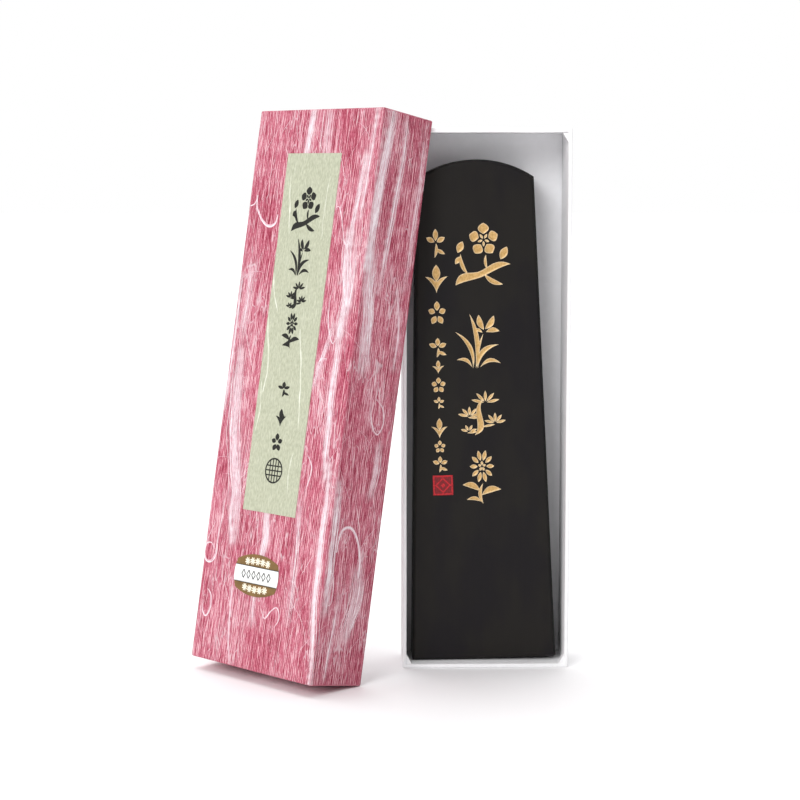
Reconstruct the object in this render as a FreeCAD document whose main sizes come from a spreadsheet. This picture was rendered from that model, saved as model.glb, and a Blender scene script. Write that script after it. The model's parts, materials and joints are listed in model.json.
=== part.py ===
"""Ink stick standing in its paper-covered tray, with the washi-covered lid leaning on the tray.

Millimetres. +Z is up, +X is to the right and +Y is to the back of the upright tray. The origin is
the middle of the tray's foot face, on which the tray stands. The tray opens towards -Y.
"""
import FreeCAD, Part
import math
import os

import Sketcher
from FreeCAD import Placement, Rotation, Vector

SHEET_NAME = "Dimensions"

# Driving dimensions: lengths in millimetres, angles in degrees.
DIMENSIONS = {
    "board_gauge": 0.7,          # grey board of both boxes
    "paper_gauge": 0.15,         # wrapping paper and liners
    "tray_width": 43.0,
    "tray_length": 139.0,
    "tray_depth": 16.5,
    "lid_width": 45.6,
    "lid_length": 143.2,
    "lid_depth": 17.5,
    "lid_turn": 46.24,           # clockwise, seen from above
    "lid_lean": 10.37,           # towards the tray
    "lid_place_x": -48.32,       # middle of the lid's lower rear edge, on the floor
    "lid_place_y": -10.35,
    "fold_across": 1.4,          # folded paper in the tray's corners
    "fold_along": 2.4,
    "fold_depth": 2.4,
    "fold_setback": 0.3,
    "cake_foot_width": 37.6,
    "cake_shoulder_width": 30.2,
    "cake_shoulder_height": 125.1,
    "cake_crown_rise": 4.7,
    "cake_thickness": 11.4,
    "cake_recess": 3.9,          # front face behind the tray's rim
    "cake_edge": 0.7,
    "cake_tilt": 1.33,           # head towards -X
    "cake_foot_x": -0.07,        # middle of the foot
    "cake_foot_z": 1.54,
    "inlay_depth": 0.4,
    "label_width": 19.8,
    "label_length": 91.9,
    "label_foot": 39.9,          # lower edge above the lid's lower end
    "label_gauge": 0.12,
    "sticker_width": 16.7,
    "sticker_length": 10.7,
    "sticker_bulge": 1.7,
    "sticker_gauge": 0.1,
    "sticker_height": 23.8,      # middle above the lid's lower end
    "sticker_offset": 1.7,       # middle to the left of the lid's middle line
    "sticker_band": 4.3,
    "sticker_film": 0.04,
}

doc = FreeCAD.newDocument("InkStick")
sheet = doc.addObject("Spreadsheet::Sheet", SHEET_NAME)
for row, (alias, value) in enumerate(DIMENSIONS.items(), start=1):
    sheet.set("A%d" % row, alias)
    sheet.set("B%d" % row, str(value))
    sheet.setAlias("B%d" % row, alias)
doc.recompute()

nodes = []


def size(alias):
    """Value of one driving dimension."""
    return float(sheet.get(alias))


def formula(text):
    """Write an expression with @alias for a cell of the sheet."""
    return text.replace("@", SHEET_NAME + ".")


def keep(piece, label):
    """Make an object one of the exported sub-parts."""
    piece.Label = label
    nodes.append(piece)
    return piece


def slab(name, frame, corner, length, width, height):
    """A box bound to the sheet, with its lowest corner at a point of the frame."""
    box = doc.addObject("Part::Box", name)
    box.setExpression("Length", formula(length))
    box.setExpression("Width", formula(width))
    box.setExpression("Height", formula(height))
    box.Placement = frame.multiply(Placement(Vector(*corner), Rotation()))
    return box


# ---------------------------------------------------------------------------------------------
# Paper-covered boxes. A box's own frame has its open rim at y = 0, its floor at y = depth, its
# lower end at z = 0 and its middle line at x = 0.

def boards(kind, panel, frame):
    """The floor board and the four wall boards of one box."""
    gauge, paper = size("board_gauge"), size("paper_gauge")
    width, length, depth = (size(kind + "_" + side) for side in ("width", "length", "depth"))
    wall_height = "@%s_depth - @board_gauge - 2 * @paper_gauge" % kind
    full_length = "@%s_length - 2 * @paper_gauge" % kind
    full_width = "@%s_width - 2 * @paper_gauge" % kind
    end_width = "@%s_width - 2 * @paper_gauge - 2 * @board_gauge" % kind
    left = paper - width / 2
    made = [slab("%s_%s_board" % (kind, panel), frame, (left, depth - paper - gauge, paper),
                 full_width, "@board_gauge", full_length)]
    for side, x in (("left", left), ("right", -left - gauge)):
        made.append(slab("%s_%s_board" % (kind, side), frame, (x, paper, paper),
                         "@board_gauge", wall_height, full_length))
    for end, z in (("foot", paper), ("head", length - paper - gauge)):
        made.append(slab("%s_%s_board" % (kind, end), frame, (left + gauge, paper, z),
                         end_width, wall_height, "@board_gauge"))
    return [keep(board, board.Name) for board in made]


def wraps(kind, panel, frame, board_group):
    """The paper of one box: on the panel's outside, around each wall, and the inner liner."""
    paper = size("paper_gauge")
    wall = size("board_gauge") + 2 * paper
    width, length, depth = (size(kind + "_" + side) for side in ("width", "length", "depth"))
    wall_gauge = "@board_gauge + 2 * @paper_gauge"
    wall_height = "@%s_depth - @paper_gauge" % kind
    inner_width = "@%s_width - 2 * (%s)" % (kind, wall_gauge)
    inner_length = "@%s_length - 2 * (%s)" % (kind, wall_gauge)
    left = -width / 2
    outer = slab("%s_%s_wrap" % (kind, panel), frame, (left, depth - paper, 0),
                 "@%s_width" % kind, "@paper_gauge", "@%s_length" % kind)
    liner = slab("%s_liner" % kind, frame, (left + wall, depth - wall, wall),
                 inner_width, "@paper_gauge", inner_length)
    keep(outer, outer.Name)
    keep(liner, liner.Name)
    cores = doc.addObject("Part::Compound", kind + "_cores")
    cores.Links = board_group
    walls = (("left", (left, 0, 0), wall_gauge, "@%s_length" % kind),
             ("right", (-left - wall, 0, 0), wall_gauge, "@%s_length" % kind),
             ("foot", (left + wall, 0, 0), inner_width, wall_gauge),
             ("head", (left + wall, 0, length - wall), inner_width, wall_gauge))
    for side, corner, across, along in walls:
        block = slab("%s_%s_block" % (kind, side), frame, corner, across, wall_height, along)
        wrap = doc.addObject("Part::Cut", "%s_%s_wrap" % (kind, side))
        wrap.Base = block
        wrap.Tool = cores
        keep(wrap, wrap.Name)


def corner_folds(frame):
    """Triangles of folded wrapping paper in the tray's inner corners, just behind the rim."""
    wall = size("board_gauge") + 2 * size("paper_gauge")
    half_width = size("tray_width") / 2 - wall
    half_length = size("tray_length") / 2 - wall
    corners = ((half_width, -half_length), (-half_width, -half_length),
               (-half_width, half_length), (half_width, half_length))
    to_depth = Rotation(Vector(0, 0, 1), 90)
    for number, (x, z) in enumerate(corners):
        fold = doc.addObject("Part::Wedge", "tray_corner_fold_%d" % (number + 1))
        for edge in ("Xmin", "Ymin", "Zmin", "X2min", "Z2min", "Z2max"):
            setattr(fold, edge, 0)
        for edge in ("Xmax", "X2max"):
            fold.setExpression(edge, formula("@fold_depth"))
        legs = ("Ymax", "Zmax") if number % 2 == 0 else ("Zmax", "Ymax")
        fold.setExpression(legs[0], formula("@fold_across"))
        fold.setExpression(legs[1], formula("@fold_along"))
        turn = Rotation(Vector(0, 1, 0), 90 * number).multiply(to_depth)
        place = Vector(x, size("fold_setback"), z + size("tray_length") / 2)
        fold.Placement = frame.multiply(Placement(place, turn))
        keep(fold, fold.Name)


tray_frame = Placement(Vector(0, -size("tray_depth") / 2, 0), Rotation())
tray_boards = boards("tray", "base", tray_frame)
wraps("tray", "base", tray_frame, tray_boards)
corner_folds(tray_frame)

# The lid stands on its lower rear edge, turned away from the tray and leaning back on it. Its
# open side faces the back, so its own box frame is turned half round.
lid_turn = Rotation(Vector(0, 0, 1), -size("lid_turn"))
lid_lean = Rotation(Vector(1, 0, 0), -size("lid_lean"))
lid_stand = Placement(Vector(size("lid_place_x"), size("lid_place_y"), 0), lid_turn.multiply(lid_lean))
lid_frame = lid_stand.multiply(Placement(Vector(), Rotation(Vector(0, 0, 1), 180)))
lid_boards = boards("lid", "top", lid_frame)
wraps("lid", "top", lid_frame, lid_boards)

# ---------------------------------------------------------------------------------------------
# Label and sticker on the outside of the lid's top, in the lid's box frame.

label = slab("title_label", lid_frame, (-size("label_width") / 2, size("lid_depth"), size("label_foot")),
             "@label_width", "@label_gauge", "@label_length")
keep(label, "title_label")


def barrel(width, height, bulge):
    """A flat barrel outline in the XZ plane: straight-cornered, all four sides bowed out."""
    right, top = width / 2 - bulge / 2, height / 2 - bulge
    corners = [Vector(right, 0, -top), Vector(right, 0, top),
               Vector(-right, 0, top), Vector(-right, 0, -top)]
    middles = [Vector(width / 2, 0, 0), Vector(0, 0, height / 2),
               Vector(-width / 2, 0, 0), Vector(0, 0, -height / 2)]
    arcs = [Part.Arc(corners[i], middles[i], corners[(i + 1) % 4]).toShape() for i in range(4)]
    return Part.Face(Part.Wire(arcs))


def sticker():
    """The gold sticker and the white band printed across its middle."""
    face = barrel(size("sticker_width"), size("sticker_length"), size("sticker_bulge"))
    middle = Vector(size("sticker_offset"), size("lid_depth"), size("sticker_height"))
    band_box = Part.makeBox(size("sticker_width"), size("sticker_film"), size("sticker_band"),
                            Vector(-size("sticker_width") / 2, 0, -size("sticker_band") / 2))
    shapes = {
        "sticker": face.extrude(Vector(0, size("sticker_gauge"), 0)),
        "sticker_band": face.extrude(Vector(0, size("sticker_film"), 0)).common(band_box),
    }
    offsets = {"sticker": 0.0, "sticker_band": size("sticker_gauge")}
    for name, shape in shapes.items():
        piece = doc.addObject("Part::Feature", name)
        piece.Shape = shape
        piece.Placement = lid_frame.multiply(Placement(middle + Vector(0, offsets[name], 0), Rotation()))
        keep(piece, name)


sticker()

# ---------------------------------------------------------------------------------------------
# The ink cake. Its own frame has the middle of its foot at the origin, its front face at y = 0,
# its thickness towards +y and its length along +z.

cake_frame = Placement(
    Vector(size("cake_foot_x"), size("cake_recess") - size("tray_depth") / 2, size("cake_foot_z")),
    Rotation(Vector(0, 1, 0), -size("cake_tilt")))


def cake_sketch(body):
    """Foot, two tapering sides and the arched crown, on the body's XZ plane."""
    sketch = body.newObject("Sketcher::SketchObject", "cake_outline")
    plane = next(f for f in body.Origin.OriginFeatures if f.Role == "XZ_Plane")
    sketch.AttachmentSupport = [(plane, "")]
    sketch.MapMode = "FlatFace"
    foot, shoulder = size("cake_foot_width") / 2, size("cake_shoulder_width") / 2
    height, rise = size("cake_shoulder_height"), size("cake_crown_rise")
    radius = (shoulder ** 2 + rise ** 2) / (2 * rise)
    spread = math.asin(shoulder / radius)
    low_left, low_right = Vector(-foot, 0, 0), Vector(foot, 0, 0)
    high_left, high_right = Vector(-shoulder, height, 0), Vector(shoulder, height, 0)
    crown = Part.Circle(Vector(0, height + rise - radius, 0), Vector(0, 0, 1), radius)
    base = sketch.addGeometry(Part.LineSegment(low_left, low_right))
    right = sketch.addGeometry(Part.LineSegment(low_right, high_right))
    arch = sketch.addGeometry(Part.ArcOfCircle(crown, math.pi / 2 - spread, math.pi / 2 + spread))
    left = sketch.addGeometry(Part.LineSegment(high_left, low_left))
    start, end, y_axis, root_point = 1, 2, -2, -1
    for first, second in ((base, right), (right, arch), (arch, left), (left, base)):
        sketch.addConstraint(Sketcher.Constraint("Coincident", first, end, second, start))
    sketch.addConstraint(Sketcher.Constraint("Symmetric", base, start, base, end, root_point, start))
    sketch.addConstraint(Sketcher.Constraint("Horizontal", base))
    sketch.addConstraint(Sketcher.Constraint("Symmetric", arch, start, arch, end, y_axis))
    driven = (
        ("foot_width", ("DistanceX", base, start, base, end, 2 * foot), "@cake_foot_width"),
        ("shoulder_width", ("DistanceX", arch, end, arch, start, 2 * shoulder), "@cake_shoulder_width"),
        ("shoulder_height", ("DistanceY", base, end, arch, start, height), "@cake_shoulder_height"),
        ("crown_radius", ("Radius", arch, radius),
         "((@cake_shoulder_width / 2) ^ 2 + @cake_crown_rise ^ 2) / (2 * @cake_crown_rise)"),
    )
    for name, parts, text in driven:
        index = sketch.addConstraint(Sketcher.Constraint(*parts))
        sketch.renameConstraint(index, name)
        sketch.setExpression("Constraints." + name, formula(text))
    return sketch


def cake_block():
    """The moulded bar before its marks are cut: a pad of the outline with chamfered edges."""
    body = doc.addObject("PartDesign::Body", "cake_block")
    sketch = cake_sketch(body)
    pad = body.newObject("PartDesign::Pad", "cake_pad")
    pad.Profile = sketch
    pad.setExpression("Length", formula("@cake_thickness"))
    pad.Reversed = True
    doc.recompute()
    flat_faces = ["Face%d" % number for number, face in enumerate(pad.Shape.Faces, start=1)
                  if face.Surface.TypeId == "Part::GeomPlane" and abs(face.normalAt(0, 0).y) > 0.99]
    chamfer = body.newObject("PartDesign::Chamfer", "cake_chamfer")
    chamfer.Base = (pad, flat_faces)
    chamfer.setExpression("Size", formula("@cake_edge"))
    body.Tip = chamfer
    body.Placement = cake_frame
    return body


# ---------------------------------------------------------------------------------------------
# Brush-stroke ornaments: plum, orchid, pine and chrysanthemum, and three small plants. A motif is
# a list of strokes in a box one unit wide and one unit high, centred on the origin. A stroke is a
# list of (x, z, half width) along its middle line, and runs to a point at its two ends.

def leaf(x0, z0, x1, z1, half_width, bend=0.0):
    """A stroke that swells and thins again, bowed sideways by a share of its length."""
    middle_x = (x0 + x1) / 2 - bend * (z1 - z0)
    middle_z = (z0 + z1) / 2 + bend * (x1 - x0)
    return [(x0, z0, 0), (middle_x, middle_z, half_width), (x1, z1, 0)]


def rays(x, z, count, first, last, inner, outer, half_width, squash=1.0):
    """Strokes set round a point like petals or pine needles, between two angles in degrees."""
    made = []
    for number in range(count):
        angle = math.radians(first + (last - first) * number / (count - 1))
        across, up = math.cos(angle), squash * math.sin(angle)
        made.append(leaf(x + inner * across, z + inner * up, x + outer * across, z + outer * up, half_width))
    return made


def plum():
    """A bent bough with twigs, one open blossom with its stamens, and three buds."""
    bough = [(-0.50, -0.48, 0), (-0.34, -0.36, 0.075), (-0.08, -0.32, 0.055), (0.20, -0.20, 0.062),
             (0.50, -0.16, 0)]
    twigs = [leaf(-0.26, -0.32, -0.40, 0.02, 0.035, 0.12), leaf(0.02, -0.31, 0.36, -0.48, 0.045, -0.1),
             leaf(0.08, -0.24, 0.06, 0.00, 0.026, 0.1)]
    blossom = rays(0.02, 0.24, 5, 90, 378, 0.09, 0.27, 0.098)
    stamens = rays(0.02, 0.24, 5, 54, 342, 0.02, 0.11, 0.022)
    buds = [leaf(-0.45, 0.04, -0.36, 0.22, 0.065), leaf(0.32, -0.08, 0.44, 0.12, 0.07),
            leaf(-0.50, -0.14, -0.40, -0.02, 0.045)]
    return [bough] + twigs + blossom + stamens + buds


def orchid():
    """Long arching leaves from one root, with a four-petalled flower and a bud."""
    leaves = [leaf(-0.12, -0.50, -0.50, 0.16, 0.045, -0.18), leaf(-0.06, -0.50, -0.18, 0.48, 0.052, -0.1),
              leaf(-0.02, -0.50, 0.46, -0.08, 0.056, 0.22), leaf(0.04, -0.48, 0.50, -0.42, 0.045, 0.2),
              leaf(-0.14, -0.48, -0.48, -0.34, 0.04, -0.2), leaf(-0.04, -0.46, 0.12, 0.12, 0.028, 0.06)]
    flower = [leaf(0.13, 0.19, 0.02, 0.46, 0.066, 0.1), leaf(0.16, 0.20, 0.36, 0.44, 0.066, -0.1),
              leaf(0.18, 0.15, 0.48, 0.16, 0.055, 0.1), leaf(0.10, 0.14, -0.08, 0.20, 0.035, -0.1)]
    return leaves + flower


def pine():
    """A crooked trunk with four fans of needles."""
    trunk = [(-0.16, -0.50, 0), (-0.02, -0.30, 0.075), (-0.06, 0.00, 0.06), (0.08, 0.32, 0)]
    fans = (rays(0.10, 0.22, 5, 15, 165, 0.04, 0.34, 0.036, 0.8)
            + rays(-0.28, -0.08, 5, 15, 165, 0.03, 0.28, 0.034, 0.8)
            + rays(0.32, -0.24, 5, 15, 165, 0.03, 0.26, 0.034, 0.9)
            + rays(-0.30, -0.42, 4, 20, 160, 0.03, 0.20, 0.03, 0.8))
    boughs = [leaf(-0.04, -0.12, -0.32, -0.10, 0.028), leaf(0.00, -0.32, 0.32, -0.27, 0.028),
              leaf(-0.08, -0.42, -0.34, -0.45, 0.026)]
    return [trunk] + fans + boughs


def chrysanthemum():
    """A round flower head in two rings of petals, on a bending stem with three leaves."""
    head = rays(0.0, 0.20, 10, 0, 324, 0.11, 0.31, 0.052)
    heart = rays(0.0, 0.20, 5, 18, 306, 0.02, 0.10, 0.032)
    stem = [(0.02, -0.12, 0), (-0.06, -0.30, 0.045), (0.02, -0.50, 0)]
    leaves = [leaf(-0.06, -0.26, -0.50, -0.14, 0.078, -0.12), leaf(-0.02, -0.34, 0.48, -0.24, 0.082, 0.12),
              leaf(-0.02, -0.46, -0.40, -0.42, 0.05, -0.12)]
    return head + heart + [stem] + leaves


def trefoil():
    """Three leaves on a short stalk."""
    return rays(0.0, 0.02, 3, 22, 158, 0.06, 0.48, 0.125) + [leaf(0.02, 0.0, -0.06, -0.50, 0.075, 0.1),
                                                           leaf(0.0, -0.20, 0.44, -0.38, 0.09)]


def tulip():
    """A bud on a straight stem between two arching leaves."""
    return [leaf(0.0, -0.10, 0.0, 0.50, 0.17), leaf(0.0, -0.50, 0.0, 0.06, 0.055),
            leaf(0.0, -0.46, -0.48, 0.08, 0.085, -0.18), leaf(0.0, -0.46, 0.48, 0.08, 0.085, 0.18)]


def open_flower():
    """Five round petals about an open middle."""
    return rays(0.0, -0.02, 5, 90, 378, 0.12, 0.50, 0.16)


def stroke_face(stroke):
    """The flat outline of one stroke: two splines that meet in a point at each end."""
    last = len(stroke) - 1
    centres = [Vector(x, 0, z) for x, z, half in stroke]
    sides = ([centres[0]], [centres[0]])
    for i in range(1, last):
        along = (centres[i + 1] - centres[i - 1]).normalize()
        across = Vector(-along.z, 0, along.x) * stroke[i][2]
        sides[0].append(centres[i] + across)
        sides[1].append(centres[i] - across)
    edges = []
    for side in sides:
        curve = Part.BSplineCurve()
        curve.interpolate(Points=side + [centres[last]])
        edges.append(curve.toShape())
    return Part.Face(Part.Wire(edges))


def motif_solid(strokes, centre_x, centre_z, width, height, depth):
    """All strokes of a motif, scaled to its place on the cake and joined where they meet."""
    scaled = [[(centre_x + x * width, centre_z + z * height, half * min(width, height))
               for x, z, half in stroke] for stroke in strokes]
    solids = [stroke_face(stroke).extrude(Vector(0, depth, 0)) for stroke in scaled]
    return solids[0].multiFuse(solids[1:]).removeSplitter()


def seal_solid(centre_x, centre_z, side, depth):
    """A square seal: a frame round a diamond and a smaller one inside it."""
    bar = side / 9
    middle = Vector(centre_x, 0, centre_z)

    def square(half):
        return Part.makeBox(2 * half, depth, 2 * half, middle - Vector(half, 0, half))

    def diamond(reach):
        points = [middle + Vector(*offset) for offset in
                  ((reach, 0, 0), (0, 0, reach), (-reach, 0, 0), (0, 0, -reach), (reach, 0, 0))]
        return Part.Face(Part.makePolygon(points)).extrude(Vector(0, depth, 0))

    frame = square(4.5 * bar).cut(square(3.5 * bar))
    ring = diamond(3.9 * bar).cut(diamond(2.4 * bar))
    return frame.fuse(ring).removeSplitter().fuse(diamond(1.4 * bar))


# name, motif, middle x, middle z, width, height
LARGE_MARKS = (
    ("gold_plum", plum(), 1.6, 105.5, 14.2, 16.0),
    ("gold_orchid", orchid(), 0.0, 83.5, 11.6, 14.4),
    ("gold_pine", pine(), 0.5, 64.8, 11.0, 11.6),
    ("gold_chrysanthemum", chrysanthemum(), 0.4, 48.0, 10.2, 14.0),
)
SMALL_COLUMN_X = -10.4
SMALL_MOTIFS = (trefoil(), tulip(), open_flower())
# middle z, width, height of each small mark, from the top down
SMALL_MARKS = ((108.7, 5.3, 7.4), (99.6, 6.0, 7.2), (90.8, 4.6, 6.4), (81.9, 4.9, 5.0), (76.9, 3.2, 3.4),
               (72.2, 3.8, 4.2), (67.6, 3.0, 3.2), (61.0, 4.3, 5.2), (56.2, 3.0, 3.4), (51.6, 4.2, 4.2))
SEAL_X, SEAL_Z, SEAL_SIDE = -9.8, 46.1, 5.2


def inlays():
    """Gold and red fill of the engraved marks, flush with the cake's front face."""
    depth = size("inlay_depth")
    shapes = {name: motif_solid(motif, *place, depth) for name, motif, *place in LARGE_MARKS}
    for number, (z, width, height) in enumerate(SMALL_MARKS):
        motif = SMALL_MOTIFS[number % len(SMALL_MOTIFS)]
        label = "gold_sprig_%02d" % (number + 1)
        shapes[label] = motif_solid(motif, SMALL_COLUMN_X, z, width, height, depth)
    shapes["red_seal"] = seal_solid(SEAL_X, SEAL_Z, SEAL_SIDE, depth)
    made = []
    for name, shape in shapes.items():
        piece = doc.addObject("Part::Feature", name)
        piece.Shape = shape
        piece.Placement = cake_frame
        made.append(keep(piece, name))
    return made


fills = doc.addObject("Part::Compound", "mark_fills")
fills.Links = inlays()
cake = doc.addObject("Part::Cut", "ink_cake")
cake.Base = cake_block()
cake.Tool = fills
keep(cake, "ink_cake")

# ---------------------------------------------------------------------------------------------

doc.recompute()
for item in doc.Objects:
    if {"Invalid", "Error"} & set(item.State):
        raise RuntimeError("%s did not recompute: %s" % (item.Name, item.State))
for node in nodes:
    if node.Shape.isNull() or not node.Shape.isValid():
        raise RuntimeError("%s has no valid shape" % node.Label)
os.makedirs("parts", exist_ok=True)
for node in nodes:
    node.Shape.exportStep("parts/%s.step" % node.Label)
print("%d sub-parts written" % len(nodes))
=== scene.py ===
import json
import math
import random

import bmesh
import bpy
from mathutils import Matrix, Vector, noise


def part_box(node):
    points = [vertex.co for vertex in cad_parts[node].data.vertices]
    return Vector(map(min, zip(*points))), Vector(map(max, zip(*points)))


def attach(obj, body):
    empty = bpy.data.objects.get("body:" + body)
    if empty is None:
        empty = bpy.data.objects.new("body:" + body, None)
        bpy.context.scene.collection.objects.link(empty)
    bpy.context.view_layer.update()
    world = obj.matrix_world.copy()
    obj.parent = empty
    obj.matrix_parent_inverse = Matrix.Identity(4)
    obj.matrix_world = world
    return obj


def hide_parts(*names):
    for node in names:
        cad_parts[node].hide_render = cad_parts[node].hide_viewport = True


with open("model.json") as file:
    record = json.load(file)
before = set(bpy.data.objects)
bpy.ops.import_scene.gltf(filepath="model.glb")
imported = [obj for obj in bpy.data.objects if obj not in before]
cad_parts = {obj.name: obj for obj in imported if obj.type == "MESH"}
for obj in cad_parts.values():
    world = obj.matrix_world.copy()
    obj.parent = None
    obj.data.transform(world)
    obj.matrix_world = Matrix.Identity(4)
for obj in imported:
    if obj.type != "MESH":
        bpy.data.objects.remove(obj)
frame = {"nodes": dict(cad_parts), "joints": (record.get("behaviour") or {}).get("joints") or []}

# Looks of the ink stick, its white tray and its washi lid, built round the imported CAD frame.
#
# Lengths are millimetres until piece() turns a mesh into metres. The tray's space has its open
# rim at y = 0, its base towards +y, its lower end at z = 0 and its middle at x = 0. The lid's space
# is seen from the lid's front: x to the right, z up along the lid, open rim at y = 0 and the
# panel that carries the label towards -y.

noise.seed_set(7)       # noise_vector is different in each run without a seed

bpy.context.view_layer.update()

MM = 0.001
nodes = frame["nodes"]
joints = {joint["name"]: joint for joint in frame["joints"]}


# ------------------------------------------------------------
# Spaces and sizes, read from the frame

def lid_space():
    """The lid's space, from the hinge at its lower rear edge and the lean at its limit."""
    hinge = joints["lid_upright"]
    across = Vector(hinge["axis"]).normalized()
    up = Vector((0, 0, 1))
    back = up.cross(across)
    lean = math.radians(hinge["range_deg"][1])
    along = up * math.cos(lean) + back * math.sin(lean)
    inward = back * math.cos(lean) - up * math.sin(lean)
    space = Matrix((across, inward, along)).transposed().to_4x4()
    space.translation = Vector(hinge["pos_m"])
    return space


def tray_space():
    """The tray's space, from the box of its left wall and its base."""
    low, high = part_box("tray_base_wrap")
    return Matrix.Translation(((low.x + high.x) / 2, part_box("tray_left_wrap")[0].y, low.z))


def corners_of(points):
    """Lowest and highest corners of a list of points."""
    return Vector(map(min, zip(*points))), Vector(map(max, zip(*points)))


def span(space, *names):
    """Lowest and highest corners of CAD nodes along the axes of a space, in millimetres."""
    back = space.inverted()
    return corners_of([back @ vertex.co / MM for name in names
                       for vertex in nodes[name].data.vertices])


LID = lid_space()
TRAY = tray_space()
WORLD = Matrix.Identity(4)
WALLS = ("left", "right", "foot", "head")

PAPER = 0.14            # wrapping paper
FOLD_RADIUS = 0.42      # paper bent round a board's edge
INNER_RADIUS = 0.15     # inner corners of a box
RIM_RADIUS = 0.28       # paper over a wall's rim
WELD = 0.0005           # vertices closer than this are one


# ------------------------------------------------------------
# Materials

def srgb(red, green, blue):
    """A colour given in display values from 0 to 255, as a linear RGBA."""
    def linear(value):
        value /= 255
        return value / 12.92 if value <= 0.04045 else ((value + 0.055) / 1.055) ** 2.4
    return (linear(red), linear(green), linear(blue), 1.0)


class Finish:
    """A node material. Cells of noise are given in millimetres."""

    def __init__(self, name, coordinates="Object"):
        self.material = bpy.data.materials.new(name)
        self.material.use_nodes = True
        self.tree = self.material.node_tree
        self.shader = self.tree.nodes["Principled BSDF"]
        if coordinates == "Object":
            metres = self.node("TexCoord", {}, output="Object")
            self.place = self.node("VectorMath", {0: metres, 3: 1 / MM}, operation="SCALE")
        else:
            self.place = self.attribute(coordinates, "Vector")

    def node(self, kind, values, output=0, **settings):
        """Add a node, set or link its inputs, and return one output."""
        made = self.tree.nodes.new("ShaderNode" + kind)
        for key, value in settings.items():
            setattr(made, key, value)
        for key, value in values.items():
            if isinstance(value, bpy.types.NodeSocket):
                self.tree.links.new(value, made.inputs[key])
            else:
                made.inputs[key].default_value = value
        return made.outputs[output]

    def attribute(self, name, output="Fac"):
        return self.node("Attribute", {}, output=output, attribute_name=name)

    def math(self, operation, first, second=0.0, clamp=False):
        return self.node("Math", {0: first, 1: second}, operation=operation, use_clamp=clamp)

    def weighed(self, *layers):
        """The sum of layers, each a value and its weight."""
        total = None
        for value, weight in layers:
            layer = self.math("MULTIPLY", value, weight)
            total = layer if total is None else self.math("ADD", total, layer)
        return total

    def in_cells(self, place, cell):
        """Coordinates counted in cells of a size along x, y and z."""
        return self.node("VectorMath", {0: place, 1: [1 / size for size in cell]},
                         operation="MULTIPLY")

    def noise(self, cell, detail=3.0, roughness=0.55, distortion=0.0, place=None):
        """Noise from 0 to 1 whose cells have the given size."""
        return self.node("TexNoise", {"Vector": self.in_cells(place or self.place, cell),
                                      "Scale": 1.0, "Detail": detail, "Roughness": roughness,
                                      "Distortion": distortion})

    def range(self, value, low, high, to_low=0.0, to_high=1.0):
        """Smooth steps from one range to another, held at the ends."""
        return self.node("MapRange", {"Value": value, "From Min": low, "From Max": high,
                                      "To Min": to_low, "To Max": to_high},
                         interpolation_type="SMOOTHSTEP")

    def mix(self, share, low, high):
        return self.node("Mix", {0: share, 6: low, 7: high}, output=2, data_type="RGBA")

    def warped(self, cell, amount):
        """The coordinates pushed about by a slow noise."""
        push = self.node("TexNoise", {"Vector": self.in_cells(self.place, cell), "Scale": 1.0,
                                      "Detail": 1.0}, output="Color")
        centred = self.node("VectorMath", {0: push, 1: (0.5, 0.5, 0.5)}, operation="SUBTRACT")
        pushed = self.node("VectorMath", {0: centred, 1: amount}, operation="MULTIPLY")
        return self.node("VectorMath", {0: self.place, 1: pushed}, operation="ADD")

    def use(self, colour, roughness, height=None, depth=0.0, **fixed):
        """Drive the shader. Depth is the height of the bump in millimetres."""
        links = {"Base Color": colour, "Roughness": roughness}
        if height is not None:
            links["Normal"] = self.node("Bump", {"Strength": 1.0, "Distance": depth * MM,
                                                 "Height": height})
        for name, socket in links.items():
            self.tree.links.new(socket, self.shader.inputs[name])
        for name, value in fixed.items():
            self.shader.inputs[name.replace("_", " ")].default_value = value
        return self.material


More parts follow.
